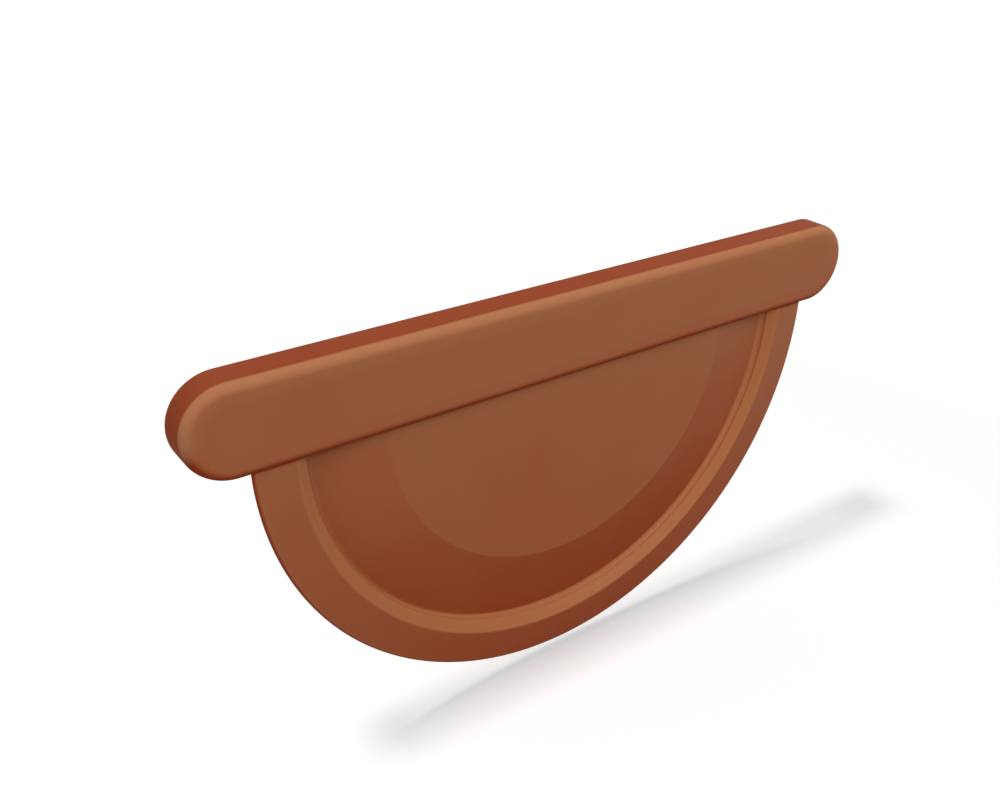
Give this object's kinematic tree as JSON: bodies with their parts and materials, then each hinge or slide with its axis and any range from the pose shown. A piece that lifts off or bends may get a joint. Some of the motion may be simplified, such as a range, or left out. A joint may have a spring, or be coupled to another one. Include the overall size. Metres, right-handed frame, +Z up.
{
  "type": "gutter end cap",
  "caption": "Pressed sheet-steel cap for the end of a half-round gutter: a dished half-disc with a raised ring, under a round-ended bar that takes the gutter's bead.",
  "frame": {"origin": "on the axis of the half-round gutter, in the plane where the gutter's cut end seats behind the ring", "axes": "+X along the bar, +Y towards the gutter (the outer face looks along -Y), +Z up as fitted"},
  "size_m": [0.1664, 0.0073, 0.0904],
  "materials": {
    "paint": "satin copper-brown paint on galvanised steel sheet, both sides"
  },
  "bodies": {
    "root": {"end_cap": "paint"}
  },
  "joints": []
}
